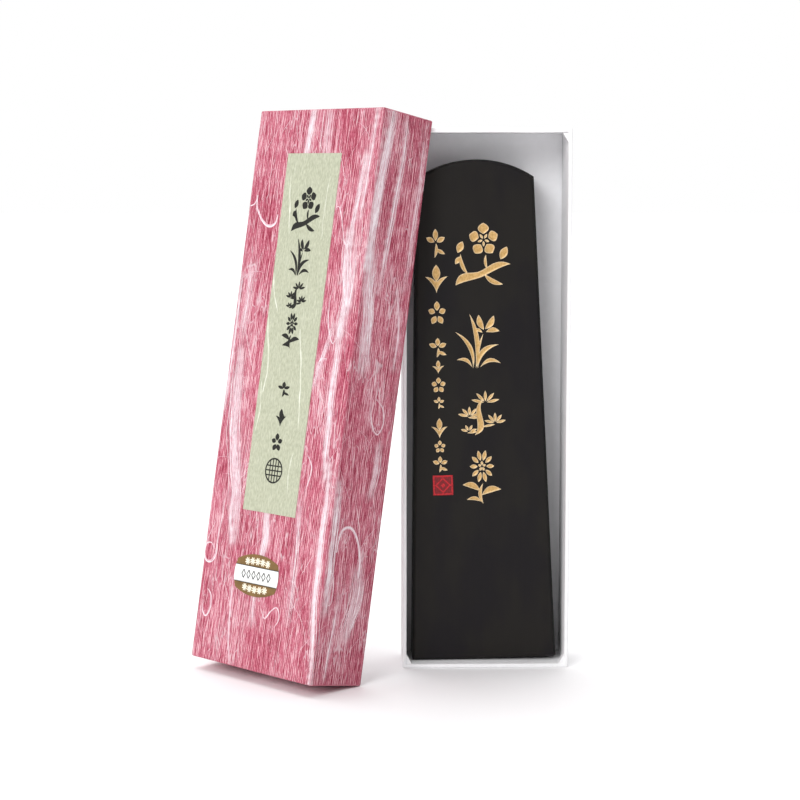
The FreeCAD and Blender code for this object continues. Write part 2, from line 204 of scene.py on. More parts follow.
def washi_finish():
    """Crimson washi: fine lengthwise grain, pale clouds and fibres of white bark."""
    made = Finish("washi_paper", coordinates="paper")

    def lifted(value, gain, least):
        return made.math("ADD", made.math("MULTIPLY", value, gain), least)

    warped = made.warped((9, 26, 1), (1.6, 3.0, 0))
    fine = made.noise((0.24, 3.4, 1), 2.0, 0.55, place=warped)
    thread = made.noise((0.44, 21.0, 1), 2.0, 0.5, place=warped)
    speck = made.noise((0.22, 0.6, 1), 2.0, 0.7)
    zone = made.noise((9, 22, 1), 2.0, 0.5)
    across = made.node("SeparateXYZ", {0: made.warped((1.6, 6, 1), (0.7, 0, 0))})
    rib_pitch = 0.62
    rib = made.math("SINE", made.math("MULTIPLY", across, math.tau / rib_pitch))
    grain = made.weighed((fine, 0.43), (speck, 0.19), (thread, 0.31), (rib, 0.035), (zone, 0.13))

    cloud = made.range(made.noise((5.5, 30, 1), 3.0, 0.6, place=warped), 0.52, 0.8)
    wisp = made.range(made.noise((0.8, 15, 1), 3.0, 0.6, place=warped), 0.48, 0.66)
    pale = made.math("MULTIPLY", cloud, lifted(wisp, 0.8, 0.2))
    streak = made.range(made.noise((0.36, 12.0, 1), 3.0, 0.65, place=warped), 0.36, 0.6)
    bundle = made.math("MULTIPLY", made.attribute("kozo"), lifted(streak, 0.85, 0.22))
    white = made.math("ADD", made.math("MULTIPLY", pale, 0.5), bundle, clamp=True)

    loops = None
    for cell, width, spread in (((7, 19, 1), 0.010, 0.56), ((4.2, 12, 1), 0.012, 0.56),
                                ((1.5, 7.0, 1), 0.030, 0.50)):
        field = made.noise(cell, 1.0, 0.4, 0.6)
        ridge = made.math("ABSOLUTE", made.math("SUBTRACT", field, 0.5))
        line = made.range(ridge, 0.0, width, 1.0, 0.0)
        shown = made.range(made.noise((6, 14, 1), 1.0, 0.5, place=warped),
                           spread - 0.03, spread + 0.1)
        line = made.math("MULTIPLY", line, shown)
        loops = line if loops is None else made.math("MAXIMUM", loops, line)

    dark, mid = srgb(138, 34, 58), srgb(190, 99, 119)
    light, paper_white = srgb(226, 182, 190), srgb(236, 224, 229)
    colour = made.mix(made.range(grain, 0.44, 0.535), dark, mid)
    colour = made.mix(made.range(grain, 0.525, 0.64), colour, light)
    colour = made.mix(white, colour, paper_white)
    colour = made.mix(made.math("MULTIPLY", loops, 0.45), colour, paper_white)
    height = made.math("ADD", grain, made.math("MULTIPLY", made.math("ADD", white, loops), 0.4))
    rough = made.range(grain, 0.35, 0.75, 0.72, 0.92)
    return made.use(colour, rough, height, 0.05, Specular_IOR_Level=0.2)


def white_paper_finish(name, tint):
    """Smooth white paper with faint pulp clouds, patches soiled by handling and a soft tooth."""
    made = Finish(name)
    pulp = made.noise((2.4, 2.4, 3.2), 4.0, 0.6)
    tooth = made.noise((0.16, 0.16, 0.22), 3.0, 0.6)
    handled = made.noise((22, 22, 34), 2.0, 0.5)
    shade = made.range(pulp, 0.3, 0.7)
    lighter = [min(1.0, value * 1.035) for value in tint[:3]] + [1.0]
    soiled = [value * weight for value, weight in zip(tint[:3], (0.965, 0.955, 0.94))] + [1.0]
    colour = made.mix(shade, tint, lighter)
    colour = made.mix(made.range(handled, 0.52, 0.8, 0.0, 0.6), colour, soiled)
    rough = made.range(made.math("ADD", pulp, tooth), 0.7, 1.3, 0.5, 0.68)
    height = made.math("ADD", tooth, made.math("MULTIPLY", pulp, 0.8))
    return made.use(colour, rough, height, 0.012, Specular_IOR_Level=0.3)


def grey_board_finish():
    """Recycled grey board: layered pulp with dark and pale fibres."""
    made = Finish("grey_board_pulp")
    pulp = made.noise((0.8, 0.8, 1.6), 4.0, 0.6)
    fibre = made.range(made.noise((0.12, 0.12, 1.4), 2.0, 0.6), 0.60, 0.72)
    colour = made.mix(pulp, srgb(122, 118, 110), srgb(158, 153, 143))
    colour = made.mix(made.math("MULTIPLY", fibre, 0.5), colour, srgb(92, 86, 78))
    rough = made.range(pulp, 0.3, 0.7, 0.8, 0.95)
    return made.use(colour, rough, pulp, 0.05, Specular_IOR_Level=0.2)


def ink_finish():
    """Moulded soot ink: near black, satin, with faint wood grain from the mould and pin pits."""
    made = Finish("ink_soot")
    mould = made.noise((0.7, 3.0, 26), 4.0, 0.6)
    skin = made.noise((0.22, 0.22, 0.3), 4.0, 0.65)
    patch = made.noise((9, 9, 20), 2.0, 0.5)
    pits = made.range(made.noise((0.35, 0.35, 0.35), 1.0, 0.4), 0.72, 0.8)
    warm = made.range(patch, 0.35, 0.65)
    colour = made.mix(warm, srgb(27, 25, 27), srgb(32, 30, 28))
    rough = made.math("ADD", made.range(mould, 0.3, 0.7, 0.36, 0.50),
                      made.range(skin, 0.3, 0.7, -0.03, 0.05))
    height = made.math("SUBTRACT", made.weighed((mould, 0.5), (skin, 0.35)), pits)
    return made.use(colour, rough, height, 0.008, Specular_IOR_Level=0.13)


def gold_finish():
    """Gold paint brushed into the engraving: mottled, with a painted highlight of pale gold along
    its edges.
    """
    made = Finish("gold_paint")
    rim = made.attribute("rim")
    mottle = made.noise((0.45, 0.45, 0.7), 4.0, 0.65)
    grain = made.noise((0.12, 0.12, 0.16), 2.0, 0.6)
    colour = made.mix(made.range(mottle, 0.32, 0.68), srgb(188, 147, 82), srgb(217, 180, 120))
    # Painted highlight: pale gold near the mark's edge, standing for light caught by the
    # engraving's walls.
    colour = made.mix(made.math("MULTIPLY", rim, 0.7), colour, srgb(248, 228, 190))
    rough = made.range(grain, 0.3, 0.7, 0.34, 0.52)
    height = made.math("ADD", grain, mottle)
    return made.use(colour, rough, height, 0.02, Metallic=0.35, Specular_IOR_Level=0.5)


def label_finish():
    """Pale celadon paper with long pulp fibres and a few straw flecks."""
    made = Finish("celadon_paper")
    warped = made.warped((5, 5, 12), (0.8, 0, 1.6))
    pulp = made.noise((0.4, 0.4, 1.1), 4.0, 0.6, place=warped)
    fibre = made.range(made.noise((0.18, 0.18, 3.4), 2.0, 0.6, place=warped), 0.54, 0.68)
    fleck = made.range(made.noise((0.5, 0.5, 0.9), 2.0, 0.6), 0.68, 0.76)
    colour = made.mix(made.range(pulp, 0.32, 0.68), srgb(168, 171, 148), srgb(192, 195, 172))
    colour = made.mix(made.math("MULTIPLY", fibre, 0.55), colour, srgb(214, 216, 198))
    colour = made.mix(made.math("MULTIPLY", fleck, 0.35), colour, srgb(158, 156, 122))
    rough = made.range(pulp, 0.3, 0.7, 0.74, 0.9)
    return made.use(colour, rough, pulp, 0.03, Specular_IOR_Level=0.25)


def foil_finish():
    """Dull khaki gold foil of the sticker, with brushed streaks and a worn patch."""
    made = Finish("sticker_khaki_gold")
    streak = made.noise((4.0, 4.0, 0.14), 3.0, 0.6)
    patch = made.noise((3.5, 3.5, 2.5), 2.0, 0.5)
    colour = made.mix(made.range(patch, 0.3, 0.7), srgb(116, 90, 48), srgb(140, 106, 60))
    colour = made.mix(made.range(streak, 0.45, 0.75, 0.0, 0.4), colour, srgb(152, 126, 74))
    rough = made.range(streak, 0.3, 0.7, 0.34, 0.5)
    return made.use(colour, rough, streak, 0.004, Metallic=0.3, Specular_IOR_Level=0.5)


def mottled_finish(name, low, high, cell, noise_kind, contrast, rough, bump, specular):
    """One colour mottled into another, with a roughness and a bump that follow the mottle."""
    made = Finish(name)
    mottle = made.noise(cell, *noise_kind)
    colour = made.mix(made.range(mottle, *contrast), low, high)
    return made.use(colour, made.range(mottle, 0.3, 0.7, *rough), mottle, bump,
                    Specular_IOR_Level=specular)


# cell, the noise's detail and roughness, the mottle's range from one colour to the other, the
# surface's roughness, bump and specular level
THIN_PAINT = ((0.4, 0.4, 0.6), (4.0, 0.65), (0.34, 0.66), (0.4, 0.58), 0.02, 0.4)
BLACK_PRINT = ((0.3, 0.3, 0.4), (3.0, 0.6), (0.4, 0.7), (0.5, 0.7), 0.005, 0.3)
COATED_PAPER = ((0.5, 0.5, 0.5), (3.0, 0.6), (0.3, 0.7), (0.3, 0.42), 0.002, 0.5)
BARK_FIBRE = ((0.8, 0.8, 2.4), (3.0, 0.6), (0.34, 0.66), (0.66, 0.85), 0.01, 0.3)

WASHI = washi_finish()
WHITE_PAPER = white_paper_finish("white_wrapping_paper", srgb(243, 243, 244))
LINER_PAPER = white_paper_finish("white_liner_paper", srgb(236, 236, 238))
GREY_BOARD = grey_board_finish()
INK = ink_finish()
GOLD = gold_finish()
RED = mottled_finish("vermilion_paint", srgb(158, 14, 26), srgb(206, 30, 42), *THIN_PAINT)
# Painted shade: a darker red for the seal's recessed ground, which is really the same vermilion in
# shadow.
RED_SEAL_SHADE = mottled_finish("vermilion_painted_shade", srgb(96, 8, 16), srgb(138, 16, 28), *THIN_PAINT)
LABEL_PAPER = label_finish()
PRINT = mottled_finish("printed_black", srgb(22, 22, 20), srgb(44, 44, 38), *BLACK_PRINT)
FOIL = foil_finish()
STICKER_WHITE = mottled_finish("sticker_coated_white", srgb(238, 240, 238), srgb(250, 251, 250),
                               *COATED_PAPER)
CREAM_PRINT = mottled_finish("sticker_cream_print", srgb(238, 230, 204), srgb(250, 244, 224),
                             *COATED_PAPER)
BARK_WHITE = mottled_finish("bark_fibre_white", srgb(226, 206, 214), srgb(246, 236, 240),
                            *BARK_FIBRE)
BARK_LABEL = mottled_finish("bark_fibre_label", srgb(206, 209, 188), srgb(228, 230, 216),
                            *BARK_FIBRE)
BARK_SOFT = mottled_finish("bark_fibre_soft", srgb(214, 166, 178), srgb(230, 202, 210),
                           *BARK_FIBRE)


# ------------------------------------------------------------
# Pieces

def piece(name, shape, space, material, body, stands_for=(), sharp=35.0):
    """Turn a bmesh in millimetres of a space into an object that rides on a body."""
    shape.transform(Matrix.Scale(MM, 4))
    mesh = bpy.data.meshes.new(name)
    shape.to_mesh(mesh)
    shape.free()
    mesh.materials.append(material)
    mesh.shade_smooth()
    mesh.set_sharp_from_angle(angle=math.radians(sharp))
    made = bpy.data.objects.new(name, mesh)
    bpy.context.scene.collection.objects.link(made)
    made.matrix_world = space
    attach(made, body)
    if stands_for:
        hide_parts(*stands_for)
    return made


def join_rings(shape, first, second):
    """Faces between two closed rings of vertices."""
    for i in range(len(first)):
        j = (i + 1) % len(first)
        shape.faces.new((first[i], first[j], second[j], second[i]))


def facing_out(shape):
    """A shape with its faces turned outwards."""
    bmesh.ops.recalc_face_normals(shape, faces=shape.faces)
    return shape


def cad_copy(name, space):
    """A bmesh of a CAD node in millimetres of a space, with its split vertices joined again."""
    shape = bmesh.new()
    shape.from_mesh(nodes[name].data)
    shape.transform(Matrix.Scale(1 / MM, 4) @ space.inverted())
    bmesh.ops.remove_doubles(shape, verts=shape.verts, dist=WELD)
    bmesh.ops.dissolve_limit(shape, angle_limit=math.radians(0.5), verts=shape.verts,
                             edges=shape.edges)
    return facing_out(shape)


def front_faces(shape):
    return [face for face in shape.faces if face.normal.y < -0.99]


def cut_in_grid(shape, step):
    """Cut the faces towards the front into cells of a step, so that they can be shaped."""
    low, high = corners_of([vertex.co for vertex in shape.verts])
    for axis in (0, 2):
        normal = Vector((axis == 0, 0, axis == 2))
        for number in range(1, int((high[axis] - low[axis]) / step) + 1):
            faces = front_faces(shape)
            edges = dict.fromkeys(edge for face in faces for edge in face.edges)
            corners = dict.fromkeys(vertex for face in faces for vertex in face.verts)
            bmesh.ops.bisect_plane(shape, geom=faces + list(edges) + list(corners), dist=0.0001,
                                   plane_co=low + normal * number * step, plane_no=normal)


SWAY_CELL = 34          # size of one swell in a box's walls
LID_SEED, LID_SWAY = 3.0, 0.11
TRAY_SEED, TRAY_SWAY = 11.0, 0.08


def swayed(point, seed, amount):
    """A point moved by the slow unevenness of a hand-made box."""
    return point + noise.noise_vector(point / SWAY_CELL + Vector((seed, 0, 0))) * amount


# ------------------------------------------------------------
# Paper-covered boxes

def rounded_loop(half_width, length, inset, radius, counts):
    """(x, z, outward x, outward z) round a rectangle with rounded corners, shrunk by an inset."""
    half_length = length / 2
    across, along = half_width - inset - radius, half_length - inset - radius
    turn, on_width, on_length = counts
    points = []
    signs = ((1, 1), (-1, 1), (-1, -1), (1, -1))
    for quarter, (sign_x, sign_z) in enumerate(signs):
        for step in range(turn + 1):
            angle = math.radians(90 * (quarter + step / turn))
            out_x, out_z = math.cos(angle), math.sin(angle)
            points.append((sign_x * across + radius * out_x,
                           half_length + sign_z * along + radius * out_z, out_x, out_z))
        next_x, next_z = signs[(quarter + 1) % 4]
        steps = on_width if next_z == sign_z else on_length
        out_x, out_z = points[-1][2:]
        for step in range(1, steps):
            share = step / steps
            x = (sign_x + (next_x - sign_x) * share) * across + radius * out_x
            z = half_length + (sign_z + (next_z - sign_z) * share) * along + radius * out_z
            points.append((x, z, out_x, out_z))
    return points


def box_profile(depth, wall, floor):
    """(inset, depth from the rim, corner radius, paper used so far) from the panel's edge over the
    rim to the foot of the inner wall."""
    steps = 4
    made = []
    for step in range(steps + 1):
        angle = math.radians(90 * step / steps)
        made.append((FOLD_RADIUS * (1 - math.sin(angle)),
                     depth - FOLD_RADIUS * (1 - math.cos(angle)), FOLD_RADIUS * math.sin(angle)))
    rows = int(depth)
    to_rim = RIM_RADIUS - depth + FOLD_RADIUS
    for row in range(1, rows):
        made.append((0, depth - FOLD_RADIUS + to_rim * row / rows, FOLD_RADIUS))
    for middle, first in ((RIM_RADIUS, 180), (wall - RIM_RADIUS, 90)):
        for step in range(steps + 1):
            angle = math.radians(first - 90 * step / steps)
            inset = middle + RIM_RADIUS * math.cos(angle)
            made.append((inset, RIM_RADIUS * (1 - math.sin(angle)),
                         max(INNER_RADIUS, FOLD_RADIUS - inset)))
    for row in range(1, rows + 1):
        made.append((wall, RIM_RADIUS + (floor - RIM_RADIUS) * row / rows, INNER_RADIUS))
    used, profile = 0.0, []
    for number, (inset, y, radius) in enumerate(made):
        if number:
            used += math.hypot(inset - made[number - 1][0], y - made[number - 1][1])
        profile.append((inset, y, radius, used))
    return profile


def wrap_nodes(kind, panel):
    return ["%s_%s_wrap" % (kind, part) for part in (panel,) + WALLS]


UNDER_LINER = 0.1       # how far the inner walls go on past the liner's face


def box_cover(space, kind, panel, facing, place):
    """The wrapping paper of one box as a surface: panel, walls, rim and inner walls. Facing is the
    side of the rim that the panel is on, and place() settles each point."""
    low, high = span(space, *wrap_nodes(kind, panel))
    inner_low, inner_high = span(space, kind + "_liner")
    half_width, length, depth = (high.x - low.x) / 2, high.z - low.z, high.y - low.y
    wall = inner_low.z - low.z
    floor = min(abs(inner_low.y), abs(inner_high.y)) + UNDER_LINER
    counts = (4, round(2 * half_width), round(length))
    shape = bmesh.new()
    paper = shape.verts.layers.float_vector.new("paper")

    def vertex(x, y, z, u, v):
        made = shape.verts.new(place(Vector((x, facing * y, z))))
        made[paper] = (u, v, 0)
        return made

    loops = []
    for inset, y, radius, used in box_profile(depth, wall, floor):
        loops.append([vertex(x, y, z, x + used * out_x, z + used * out_z) for x, z, out_x, out_z
                      in rounded_loop(half_width, length, inset, radius, counts)])
    for first, second in zip(loops, loops[1:]):
        join_rings(shape, first, second)

    flat_x, flat_z = half_width - FOLD_RADIUS, length / 2 - FOLD_RADIUS
    grid = [[vertex(x, depth, z, x, z) for x in
             (flat_x * (2 * i / counts[1] - 1) for i in range(counts[1] + 1))]
            for z in (length / 2 + flat_z * (2 * k / counts[2] - 1) for k in range(counts[2] + 1))]
    for row, next_row in zip(grid, grid[1:]):
        for i in range(counts[1]):
            shape.faces.new((row[i], row[i + 1], next_row[i + 1], next_row[i]))
    bmesh.ops.remove_doubles(shape, verts=shape.verts, dist=WELD)
    bmesh.ops.dissolve_degenerate(shape, edges=shape.edges, dist=0.0002)
    return facing_out(shape)


def thicken(made):
    """Give a paper surface the paper's thickness, towards the boards."""
    solid = made.modifiers.new("paper_thickness", "SOLIDIFY")
    solid.thickness = PAPER * MM
    solid.offset = -1.0


TRAY_LENGTH = span(TRAY, "tray_head_wrap")[1].z
TRAY_HALF = span(TRAY, "tray_base_wrap")[1].x
RIM_REACH = 1.6         # how far from the rim the loose paper edge shows
TIP_HEIGHT = 0.6        # paper standing up at the head's rim corners
TIP_REACH = 0.9
WAVE_HEIGHT = 0.24      # waviness of the paper along the head's rim
WAVE_CELL, WAVE_START = 3.1, 1.2
FLOOR_GAP = 0.02        # least height of paper above the floor


def tray_point(point):
    """A point of the tray's paper, with its unevenness, rim tips and wavy head rim."""
    near_rim = max(0, 1 - abs(point.y) / RIM_REACH)
    near_head = max(0, 1 - (TRAY_LENGTH - point.z) / RIM_REACH)
    corner = math.exp(-((abs(point.x) - TRAY_HALF) / TIP_REACH) ** 2)
    wave = WAVE_HEIGHT * (1 + math.sin(point.x / WAVE_CELL + WAVE_START)) / 2
    rise = TIP_HEIGHT * corner + wave * (1 - corner)
    moved = swayed(point, TRAY_SEED, TRAY_SWAY)
    moved.z = max(moved.z + rise * near_rim * near_head, FLOOR_GAP)
    return moved


def lid_point(point):
    """A point of the lid's paper, with its unevenness, kept off the floor."""
    moved = swayed(point, LID_SEED, LID_SWAY)
    moved.z += max(0, FLOOR_GAP - (LID @ (moved * MM)).z / MM)
    return moved


thicken(piece("tray_cover", box_cover(TRAY, "tray", "base", 1, tray_point), TRAY, WHITE_PAPER,
              "tray", wrap_nodes("tray", "base")))


# ------------------------------------------------------------
# Bark fibres of the washi. A place on the lid's paper is (u, v): u runs across the panel from its
# middle line and on round the fold onto the side walls, and v runs up the lid.

lid_low, lid_high = span(LID, *wrap_nodes("lid", "top"))
LID_HALF, LID_DEPTH, LID_LENGTH = lid_high.x, -lid_low.y, lid_high.z
END_MARGIN = 0.5        # paper left bare at the lid's ends
FIBRE_STEP = 0.9
FIBRE_TIP, FIBRE_SWELL = 0.25, 3.0      # a fibre's width at its ends and how fast it grows
FIBRE_THICKNESS = 0.03  # at most


def on_paper(u, v, lift):
    """The point of the lid's outside at a place on its paper, and the outward direction."""
    flat = LID_HALF - FOLD_RADIUS
    side = math.copysign(1, u)
    past = abs(u) - flat
    angle = min(max(past / FOLD_RADIUS, 0), math.pi / 2)
    outward = Vector((side * math.sin(angle), -math.cos(angle), 0))
    point = (Vector((side * min(abs(u), flat), FOLD_RADIUS - LID_DEPTH, v))
             + outward * (FOLD_RADIUS + lift))
    point.y += max(past - FOLD_RADIUS * math.pi / 2, 0)
    return lid_point(point), outward


def smooth_run(points, step):
    """Points about a step apart on a smooth curve through the given places."""
    ends = [points[0]] + list(points) + [points[-1]]
    run = []
    for p0, p1, p2, p3 in zip(ends, ends[1:], ends[2:], ends[3:]):
        p0, p1, p2, p3 = (Vector(p) for p in (p0, p1, p2, p3))
        count = max(2, round((p2 - p1).length / step))
        for number in range(count):
            t = number / count
            run.append(0.5 * (2 * p1 + (p2 - p0) * t + (2 * p0 - 5 * p1 + 4 * p2 - p3) * t * t
                              + (3 * p1 - p0 - 3 * p2 + p3) * t ** 3))
    run.append(Vector(points[-1]))
    return run


def add_fibre(shape, run, width, lift):
    """One bark fibre as a thin closed strand lying on the paper, pointed at its ends."""
    rings = []
    last = len(run) - 1
    for number, (u, v) in enumerate(run):
        v = min(max(v, END_MARGIN), LID_LENGTH - END_MARGIN)
        before, after = run[max(number - 1, 0)], run[min(number + 1, last)]
        heading = (after - before).normalized()
        centre, outward = on_paper(u, v, lift)
        sideways = Vector((0, 0, 1)).cross(outward) * -heading.y + Vector((0, 0, heading.x))
        taper = min(1, FIBRE_TIP + FIBRE_SWELL * min(number, last - number) / last)
        across = sideways * width * taper / 2
        up = outward * min(width * 0.3, FIBRE_THICKNESS) * taper
        rings.append([shape.verts.new(centre + offset) for offset in (across, up, -across, -up)])
    for first, second in zip(rings, rings[1:]):
        join_rings(shape, first, second)
    shape.faces.new(rings[0])
    shape.faces.new(reversed(rings[-1]))


# places along a bundle, its spread, its number of fibres, and how white the paper is round it
BUNDLES = (
    (((-2.2, 142.6), (-2.5, 138), (-2.9, 133), (-3.0, 130)), 0.42, 20, 1.0),
    (((3.4, 142), (3.8, 137), (4.2, 131)), 0.8, 10, 0.5),
    (((20.8, 142.6), (20.5, 136), (20.1, 128), (19.8, 122), (19.2, 116)), 0.28, 14, 0.8),
    (((18.6, 131), (17.8, 123), (16.9, 115), (16.5, 109)), 0.4, 12, 0.55),
    (((16.3, 112), (16.7, 106), (17.4, 101), (18.2, 97), (18.0, 92), (17.4, 87)), 0.8, 24, 0.8),
    (((19.2, 109), (19.6, 101), (19.4, 94)), 0.7, 8, 0.35),
    (((14.9, 89), (13.2, 83), (11.7, 78), (10.5, 73)), 0.35, 9, 0.4),
    (((17.1, 88), (17.4, 80), (17.2, 72), (17.7, 64), (17.8, 57), (18.8, 51)), 0.5, 20, 0.8),
    (((19.6, 54), (20.4, 46), (20.2, 38), (20.4, 30), (20.6, 20), (21.8, 11), (22.4, 5),
      (22.7, 0.6)), 0.4, 26, 0.9),
    (((26.4, 142.6), (25.6, 134), (24.8, 124), (24.2, 112), (24.2, 104)), 0.75, 36, 0.9),
    (((25.0, 106), (25.4, 98), (26.4, 92), (26.6, 86), (27.0, 79)), 1.0, 24, 0.65),
    (((31.4, 141), (31.6, 132), (30.8, 124), (30.2, 116), (29.5, 108), (28.8, 98)), 0.28, 14, 0.55),
    (((38.0, 141), (38.6, 128), (38.2, 112), (38.0, 100)), 0.4, 8, 0.3),
    (((35.4, 99), (36.6, 94), (37.6, 88), (37.4, 80)), 0.35, 12, 0.5),
    (((36.2, 60), (36.4, 54), (35.4, 48)), 0.7, 14, 0.5),
    (((24.1, 50), (24.3, 41), (24.4, 35), (24.6, 26), (24.8, 18)), 0.45, 16, 0.65),
    (((29, 22), (28.4, 16), (27.6, 8), (27.4, 2)), 0.3, 8, 0.4),
    (((34.5, 28), (35.2, 24), (34.6, 19), (33.4, 15), (32.4, 12)), 1.2, 16, 0.5),
    (((-19.0, 80), (-18.4, 70), (-17.4, 60), (-15.4, 51), (-13.6, 44), (-12.9, 38), (-12.2, 32)),
     1.0, 32, 0.7),
    (((-14.6, 44), (-14.4, 37), (-12.6, 31.4)), 0.3, 8, 0.5),
    (((-18.6, 102), (-18.4, 92), (-18.8, 84)), 0.7, 10, 0.35),
    (((-22.0, 100), (-21.8, 84), (-22.2, 66)), 0.3, 8, 0.45),
    (((-1.0, 41), (-0.3, 36.5), (0.1, 33.5), (-0.4, 30.5), (-0.9, 26)), 0.5, 22, 1.0),
    (((-10.4, 22), (-10.1, 16), (-9.6, 10), (-8.8, 4.5), (-7.4, 0.7)), 0.12, 8, 0.6),
    (((-1.5, 20), (-1.6, 16), (-1.0, 12)), 0.5, 10, 0.45),
    (((10.8, 44), (11.8, 30), (12.0, 14)), 0.6, 8, 0.25),
    (((-30, 130), (-28, 100), (-29, 60), (-27, 20)), 0.9, 18, 0.5),
    (((-36, 90), (-35, 60), (-37, 30)), 0.7, 10, 0.4),
)

# places along single hooked or looped fibres, and their width
HOOKS = (
    (((-19.9, 121), (-19.7, 118), (-17.9, 115.3), (-15.6, 113.5), (-13.7, 113), (-11.8, 113.8),
      (-11.2, 116)), 0.58),
    (((-22.4, 118), (-20.6, 118.6), (-19.6, 120.5)), 0.22),
    (((10.2, 118.1), (11.5, 118.3), (12.9, 115.6), (14.3, 111.3), (15.4, 108.8), (16.3, 109.4)),
     0.24),
    (((-18.6, 31), (-18.3, 28), (-19.4, 25.6), (-21.4, 25.2), (-22.6, 27), (-22.2, 29.4),
      (-20.4, 29.8), (-19.2, 28.4)), 0.34),
    (((-18.3, 29), (-18.0, 33), (-17.4, 38), (-17.6, 42)), 0.22),
    (((-19.9, 18), (-18.4, 16.6), (-18.0, 13.4), (-19.2, 11.2), (-20.6, 12.4), (-20.8, 15)), 0.26),
    (((25.7, 33), (25.9, 36), (26.8, 38.6), (29.2, 39.5), (31.4, 38.2), (33.2, 35.2), (34.3, 31.3),
      (34.5, 27)), 0.54),
    (((24.6, 27.5), (25.4, 27.8), (26.2, 24.5), (26.2, 20.4), (25.2, 19.8)), 0.22),
    (((12.2, 96), (12.6, 89), (15.0, 84), (16.8, 86)), 0.2),
    (((10.4, 76), (11.6, 79.5), (14.0, 80)), 0.2),
    (((11.4, 56), (13.6, 52.6), (12.4, 47)), 0.2),
    (((1.6, 15.6), (3.4, 13.6), (5.4, 15.8), (7.4, 16.8), (8.4, 14.4), (7.0, 12.0)), 0.2),
    (((32.6, 72), (35.4, 70), (36.4, 66), (34.8, 63), (32.4, 65), (30.6, 71)), 0.2),
)


RAGGED = 0.35           # how far short of a bundle's ends its fibres may stop
STRAY_HAIRS, STRAY_STEP = 210, 2.2


def lid_fibres():
    """Bundles, hooked fibres and stray hairs, as one mesh of white and one of softer fibres."""
    draw = random.Random(7)
    shapes = {"white": bmesh.new(), "soft": bmesh.new()}

    def wandering(run, offset, swing):
        seed = draw.uniform(0, 100)
        made, travelled = [], 0.0
        for number, place in enumerate(run):
            before, after = run[max(number - 1, 0)], run[min(number + 1, len(run) - 1)]
            heading = (after - before).normalized()
            travelled += (place - before).length
            drift = offset + swing * noise.noise(Vector((travelled / 9, seed, 0)))
            made.append(place + Vector((-heading.y, heading.x)) * drift)
        return made

    for places, spread, count, whiteness in BUNDLES:
        run = smooth_run(places, FIBRE_STEP)
        for _ in range(count):
            first = int(draw.uniform(0, RAGGED) ** 1.5 * len(run))
            last = len(run) - int(draw.uniform(0, RAGGED) ** 1.5 * len(run))
            fibre = wandering(run[first:last], draw.gauss(0, spread), spread * 0.9)
            kind = "white" if draw.random() < 0.25 + 0.6 * whiteness else "soft"
            add_fibre(shapes[kind], fibre, draw.uniform(0.07, 0.17), draw.uniform(0.0, 0.02))
    for places, width in HOOKS:
        for number in range(3):
            fibre = wandering(smooth_run(places, 0.5), draw.uniform(-0.25, 0.25), 0.3)
            add_fibre(shapes["white" if number == 0 else "soft"], fibre,
                      width * (1 - 0.25 * number), 0.012)
    for _ in range(STRAY_HAIRS):
        u = draw.uniform(-LID_HALF - LID_DEPTH + 1.5, LID_HALF + LID_DEPTH - 1.5)
        v = draw.uniform(2, LID_LENGTH - 2)
        angle = math.radians(90 + draw.gauss(0, 16))
        bend = draw.gauss(0, 0.035)
        places = []
        for _ in range(draw.randint(4, 9)):
            places.append((u, v))
            u += STRAY_STEP * math.cos(angle)
            v += STRAY_STEP * math.sin(angle)
            angle += bend * STRAY_STEP + draw.gauss(0, 0.08)
            if abs(u) > LID_HALF + LID_DEPTH - 1 or not 1 < v < LID_LENGTH - 1:
                break
        if len(places) > 2:
            kind = "white" if draw.random() < 0.3 else "soft"
            add_fibre(shapes[kind], smooth_run(places, FIBRE_STEP), draw.uniform(0.05, 0.12),
                      0.005)
    for kind, material in (("white", BARK_WHITE), ("soft", BARK_SOFT)):
        piece("lid_bark_fibres_" + kind, facing_out(shapes[kind]), LID, material, "lid")


KOZO_STEP = 2.5
KOZO_REACH, KOZO_GROWTH = 0.5, 1.1      # of the white round a bundle: its least, and with spread


def add_kozo(shape):
    """How white the paper is round the bundles, as a number on each vertex of the lid's cover."""
    paper = shape.verts.layers.float_vector["paper"]
    layer = shape.verts.layers.float.new("kozo")
    runs = [(smooth_run(places, KOZO_STEP), KOZO_REACH + KOZO_GROWTH * spread, whiteness)
            for places, spread, _, whiteness in BUNDLES]
    for vertex in shape.verts:
        place = Vector(vertex[paper][:2])
        total = 0.0
        for run, reach, whiteness in runs:
            low = min(point.x for point in run) - 3 * reach
            high = max(point.x for point in run) + 3 * reach
            if low < place.x < high:
                gap = min((point - place).length for point in run)
                total += whiteness * math.exp(-(gap / reach) ** 2)
        vertex[layer] = min(total, 1.0)


lid_shape = box_cover(LID, "lid", "top", -1, lid_point)
add_kozo(lid_shape)
thicken(piece("lid_cover", lid_shape, LID, WASHI, "lid", wrap_nodes("lid", "top")))
lid_fibres()


# ------------------------------------------------------------
# Label, its printed ornaments and the sticker

LABEL_UNEVEN = 0.05     # waviness of the label's cut edges


